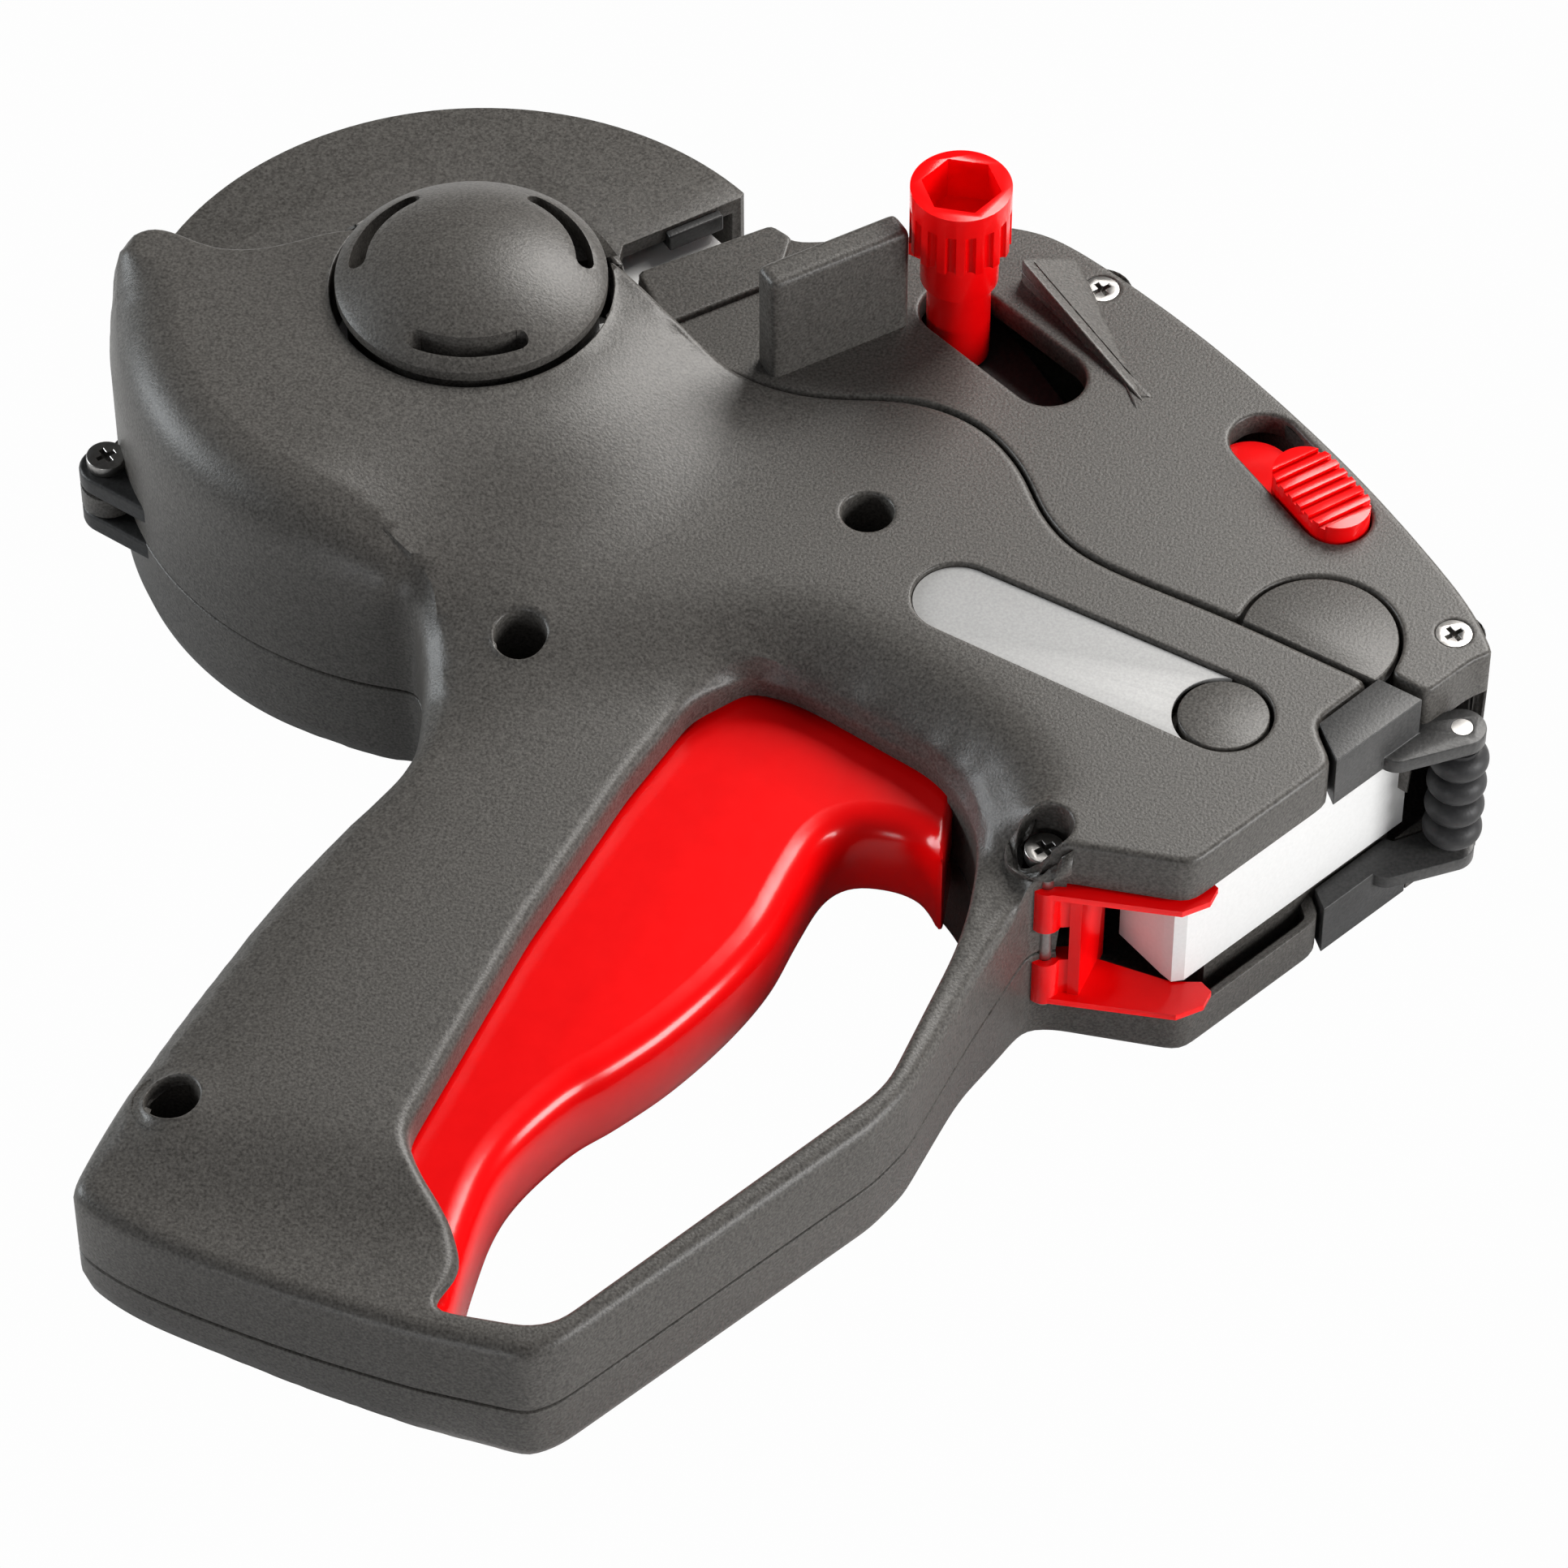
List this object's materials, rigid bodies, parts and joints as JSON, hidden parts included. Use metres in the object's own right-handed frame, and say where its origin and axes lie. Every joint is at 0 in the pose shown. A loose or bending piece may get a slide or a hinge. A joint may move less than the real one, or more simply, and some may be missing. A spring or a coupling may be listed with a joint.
{
  "type": "hand-held price labeler",
  "caption": "Hand-held price labeler: grey two-part casing with roll housing, squeeze trigger, print head with pull-out selector knob, label roll and apply roller.",
  "frame": {"origin": "middle of the bounding box in plan, on the plane the gun lies on (its left side)", "axes": "+X forward to the nose and apply roller, +Y from the grip up to the head, +Z across the gun to its right side, up from the table"},
  "size_m": [0.2058, 0.2208, 0.0644],
  "materials": {
    "shell_plastic": "fine grained moulding, dull",
    "black_plastic": "plain dull moulding",
    "red_plastic": "polished moulding",
    "stripe_plastic": "flat printed strip, satin",
    "steel": "plain turned or pressed steel",
    "paper": "uncoated white paper",
    "cardboard": "wound board",
    "roller_rubber": "soft dull rubber",
    "band_rubber": "pale moulded type",
    "ink_felt": "porous ink foam"
  },
  "bodies": {
    "casing": {"right_body_shell": "shell_plastic", "left_body_shell": "shell_plastic", "right_head_cover": "shell_plastic", "left_head_cover": "shell_plastic", "ink_door": "shell_plastic", "right_roll_hub": "shell_plastic", "left_roll_hub": "shell_plastic", "stripe_plate": "stripe_plastic", "right_nose_bracket": "black_plastic", "left_nose_bracket": "black_plastic", "shell_screws": "steel", "cover_screws": "steel", "trigger_pivot_pin": "steel", "lever_shaft": "steel", "guide_rods": "steel", "rod_brackets": "black_plastic", "ink_axle": "steel", "platen": "shell_plastic", "label_web": "paper", "web_guide": "steel", "feed_axle": "steel", "roller_axle": "steel", "gate_pin": "steel", "lid_pin": "steel"},
    "trigger": {"trigger": "red_plastic", "trigger_cross_pin": "steel"},
    "drive_lever": {"drive_lever": "steel", "return_spring": "steel"},
    "print_carriage": {"carriage_frame": "black_plastic", "type_bands": "band_rubber", "print_foot": "black_plastic"},
    "selector_collar": {"selector_collar": "red_plastic"},
    "selector_knob": {"selector_knob": "red_plastic", "selector_shaft": "steel"},
    "slide_button": {"slide_button": "red_plastic"},
    "roll_cover": {"roll_cover": "shell_plastic", "roll_cover_latch": "black_plastic"},
    "feed_gate": {"feed_gate": "red_plastic"},
    "apply_roller": {"apply_roller": "roller_rubber"},
    "label_roll": {"label_roll": "paper", "label_core": "cardboard"},
    "ink_roller": {"ink_roller": "ink_felt"},
    "feed_wheel": {"feed_wheel": "black_plastic", "feed_ratchet": "steel"},
    "release_button": {"release_button": "shell_plastic"}
  },
  "joints": [
    {"name": "trigger_squeeze", "type": "hinge", "parent": "casing", "child": "trigger", "pos_m": [-0.01341, -0.10555, 0.02], "axis": [0, 0, 1], "range_deg": [0, 10], "stiffness_Nm_per_rad": 0.8},
    {"name": "drive_lever_swing", "type": "hinge", "parent": "casing", "child": "drive_lever", "pos_m": [0.02559, 0.01693, 0.02], "axis": [0, 0, -1], "range_deg": [0, 24]},
    {"name": "print_stroke", "type": "slide", "parent": "casing", "child": "print_carriage", "axis": [0.8141, -0.5807, 0], "range_m": [0, 0.0152]},
    {"name": "selector_pull", "type": "slide", "parent": "print_carriage", "child": "selector_collar", "axis": [0, 0, 1], "range_m": [0, 0.015]},
    {"name": "selector_turn", "type": "hinge", "parent": "selector_collar", "child": "selector_knob", "pos_m": [0.01681, 0.07746, 0.06], "axis": [0, 0, 1], "continuous": true},
    {"name": "slide_button_travel", "type": "slide", "parent": "casing", "child": "slide_button", "axis": [-0.6928, 0.7212, 0], "range_m": [0, 0.009]},
    {"name": "roll_cover_hinge", "type": "hinge", "parent": "casing", "child": "roll_cover", "pos_m": [-0.09891, 0.03593, 0.02], "axis": [0, 0, 1], "range_deg": [0, 75]},
    {"name": "feed_gate_hinge", "type": "hinge", "parent": "casing", "child": "feed_gate", "pos_m": [0.04809, -0.01907, 0.02], "axis": [0, 0, -1], "range_deg": [0, 75]},
    {"name": "apply_roller_spin", "type": "hinge", "parent": "casing", "child": "apply_roller", "pos_m": [0.09871, 0.01904, 0.02], "axis": [0, 0, 1], "continuous": true},
    {"name": "label_roll_spin", "type": "hinge", "parent": "casing", "child": "label_roll", "pos_m": [-0.05041, 0.06043, 0.02], "axis": [0, 0, 1], "continuous": true},
    {"name": "ink_roller_spin", "type": "hinge", "parent": "casing", "child": "ink_roller", "pos_m": [0.07989, 0.02866, 0.02], "axis": [0, 0, 1], "continuous": true},
    {"name": "feed_wheel_turn", "type": "hinge", "parent": "casing", "child": "feed_wheel", "pos_m": [0.06167, -0.00171, 0.02], "axis": [0, 0, 1], "range_deg": [0, 142]},
    {"name": "release_press", "type": "slide", "parent": "casing", "child": "release_button", "axis": [0, 0, -1], "range_m": [0, 0.0015], "stiffness_N_per_m": 600}
  ],
  "couplings": [
    {"joint": "drive_lever_swing", "follows": "trigger_squeeze", "ratio": 2.364},
    {"joint": "print_stroke", "follows": "trigger_squeeze", "m_per_rad": 0.085944},
    {"joint": "feed_wheel_turn", "follows": "trigger_squeeze", "ratio": 14}
  ]
}
